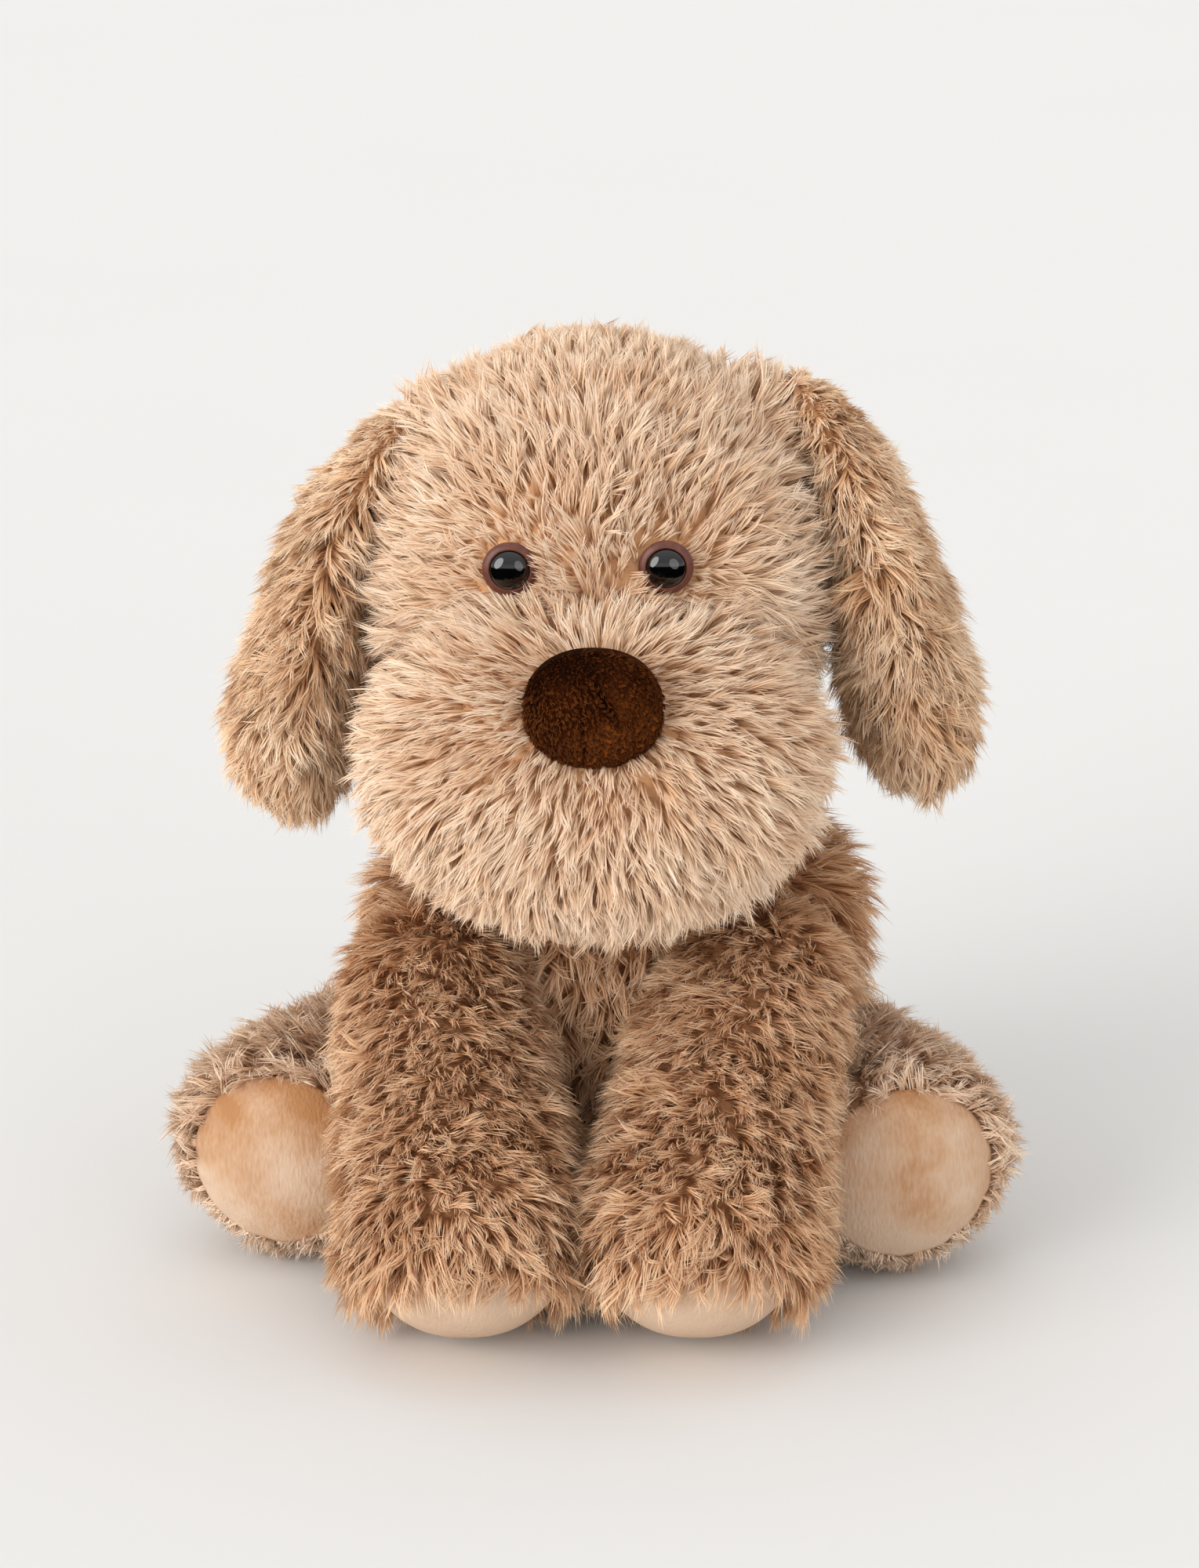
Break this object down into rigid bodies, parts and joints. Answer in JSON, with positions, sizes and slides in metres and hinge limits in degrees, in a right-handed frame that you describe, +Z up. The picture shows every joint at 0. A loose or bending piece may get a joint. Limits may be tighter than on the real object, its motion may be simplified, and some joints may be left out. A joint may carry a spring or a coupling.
{
  "type": "plush dog",
  "caption": "Seated plush dog with floppy ears, a round furry muzzle, a velour nose and soles, safety eyes, and a head, ears, legs and tail that bend at their seams.",
  "frame": {"origin": "on the flat seat panel under the torso, in the plane of the surface that the dog sits on", "axes": "+Z up, the dog faces -Y, and +X is to the right as seen from the front"},
  "size_m": [0.2758, 0.2686, 0.312],
  "materials": {
    "light_fur": "long-pile polyester plush, light beige with pale tips",
    "ear_fur": "long-pile polyester plush, mid beige-brown",
    "body_fur": "curly long-pile polyester plush, warm brown",
    "hind_fur": "curly long-pile polyester plush, greyish beige",
    "velour": "short-pile tan velour with brushed nap",
    "nose_velour": "short-pile dark brown velour",
    "stuffing": "loose white polyester fibre fill",
    "lining": "plain woven lining cloth",
    "ring_plastic": "satin moulded brown plastic",
    "pupil_plastic": "polished black dome",
    "washer_plastic": "plain white moulded nylon",
    "thread": "polyester sewing thread",
    "ribbon": "blank satin ribbon"
  },
  "bodies": {
    "torso": {"torso_cover": "body_fur", "torso_stuffing": "stuffing", "base_panel": "lining", "pellet_pouch": "lining", "care_label": "ribbon"},
    "neck": {"neck_stuffing": "stuffing", "neck_seam": "thread"},
    "head": {"head_cover": "light_fur", "head_stuffing": "stuffing", "muzzle_cover": "light_fur", "muzzle_stuffing": "stuffing", "nose_cover": "nose_velour", "nose_stuffing": "stuffing", "eye_ring_left": "ring_plastic", "eye_pupil_left": "pupil_plastic", "eye_washer_left": "washer_plastic", "eye_ring_right": "ring_plastic", "eye_pupil_right": "pupil_plastic", "eye_washer_right": "washer_plastic"},
    "ear_left": {"ear_left_outer": "ear_fur", "ear_left_inner": "ear_fur"},
    "ear_right": {"ear_right_outer": "ear_fur", "ear_right_inner": "ear_fur"},
    "front_leg_left": {"front_leg_left_cover": "body_fur", "front_leg_left_stuffing": "stuffing", "front_leg_left_sole": "velour"},
    "front_leg_right": {"front_leg_right_cover": "body_fur", "front_leg_right_stuffing": "stuffing", "front_leg_right_sole": "velour"},
    "hind_leg_left": {"hind_leg_left_cover": "hind_fur", "hind_leg_left_stuffing": "stuffing", "hind_leg_left_sole": "velour"},
    "hind_leg_right": {"hind_leg_right_cover": "hind_fur", "hind_leg_right_stuffing": "stuffing", "hind_leg_right_sole": "velour"},
    "tail": {"tail_cover": "hind_fur", "tail_stuffing": "stuffing"}
  },
  "joints": [
    {"name": "head_turn", "type": "hinge", "parent": "torso", "child": "neck", "pos_m": [0.003, -0.002, 0.157], "axis": [0, 0, 1], "range_deg": [-25, 25], "stiffness_Nm_per_rad": 0.3},
    {"name": "head_nod", "type": "hinge", "parent": "neck", "child": "head", "pos_m": [0.003, -0.002, 0.157], "axis": [1, 0, 0], "range_deg": [-15, 6], "stiffness_Nm_per_rad": 1.5},
    {"name": "ear_left_lift", "type": "hinge", "parent": "head", "child": "ear_left", "pos_m": [-0.06, -0.006, 0.288], "axis": [0, 1, 0], "range_deg": [0, 60]},
    {"name": "ear_right_lift", "type": "hinge", "parent": "head", "child": "ear_right", "pos_m": [0.069, -0.002, 0.298], "axis": [0, -1, 0], "range_deg": [0, 60]},
    {"name": "front_leg_left_swing", "type": "hinge", "parent": "torso", "child": "front_leg_left", "pos_m": [-0.05, -0.046, 0.1], "axis": [-1, 0, 0], "range_deg": [0, 30]},
    {"name": "front_leg_right_swing", "type": "hinge", "parent": "torso", "child": "front_leg_right", "pos_m": [0.055, -0.046, 0.101], "axis": [-1, 0, 0], "range_deg": [0, 30]},
    {"name": "hind_leg_left_spread", "type": "hinge", "parent": "torso", "child": "hind_leg_left", "pos_m": [-0.066, 0.024, 0.041], "axis": [0, 0, -1], "range_deg": [0, 25], "stiffness_Nm_per_rad": 0.1},
    {"name": "hind_leg_right_spread", "type": "hinge", "parent": "torso", "child": "hind_leg_right", "pos_m": [0.072, 0.02, 0.041], "axis": [0, 0, 1], "range_deg": [0, 25], "stiffness_Nm_per_rad": 0.1},
    {"name": "tail_swing", "type": "hinge", "parent": "torso", "child": "tail", "pos_m": [0.003, 0.074, 0.036], "axis": [0, 0, 1], "range_deg": [-25, 25], "stiffness_Nm_per_rad": 0.05}
  ]
}
